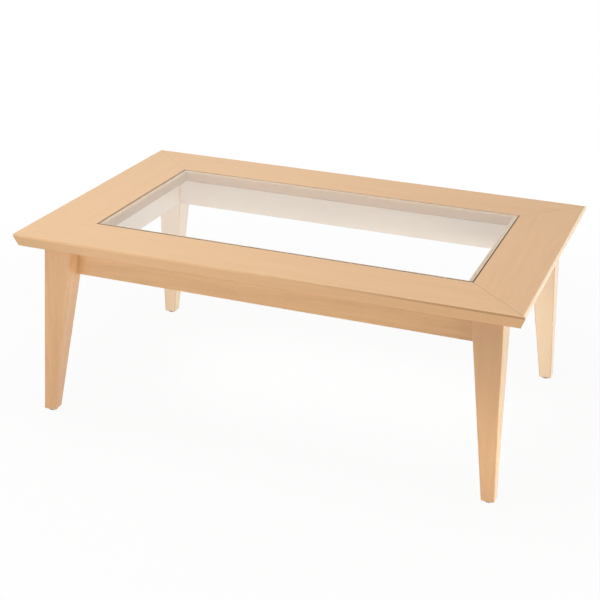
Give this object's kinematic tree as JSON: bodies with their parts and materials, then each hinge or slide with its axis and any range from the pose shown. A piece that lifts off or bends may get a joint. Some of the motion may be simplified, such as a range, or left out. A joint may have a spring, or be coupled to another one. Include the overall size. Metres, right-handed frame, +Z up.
{
  "type": "glass-topped display table",
  "caption": "Low display table: wide mitred beech frame with an undercut edge and a lift-out clear glass panel, on square tapered, slightly raked legs with dowelled aprons.",
  "frame": {"origin": "on the floor, under the middle of the table", "axes": "+X along the length to the right as seen from the front, +Y from the front to the back, +Z up"},
  "size_m": [1.1, 0.7, 0.43],
  "materials": {
    "beech": "satin lacquered beech",
    "dowel_wood": "turned, unfinished beech",
    "ply": "birch ply, sawn edges",
    "glass": "clear float glass, ground arris",
    "felt": "thin beige-brown wool felt",
    "zinc_steel": "bright zinc plated",
    "nylon": "moulded nylon"
  },
  "bodies": {
    "table": {"top_rail_front": "beech", "apron_front": "beech", "top_rail_right": "beech", "apron_right": "beech", "top_rail_back": "beech", "apron_back": "beech", "top_rail_left": "beech", "apron_left": "beech", "leg_front_left": "beech", "foot_glide_front_left": "nylon", "leg_front_right": "beech", "foot_glide_front_right": "nylon", "leg_back_right": "beech", "foot_glide_back_right": "nylon", "leg_back_left": "beech", "foot_glide_back_left": "nylon", "mitre_tongues": "ply", "glass_pads": "felt", "apron_dowels": "dowel_wood", "top_clips": "zinc_steel", "clip_screws": "zinc_steel", "glide_nails": "zinc_steel"},
    "glass": {"glass_pane": "glass"}
  },
  "joints": [
    {"name": "glass_lift", "type": "slide", "parent": "table", "child": "glass", "axis": [0, 0, 1], "range_m": [0, 0.12]}
  ]
}
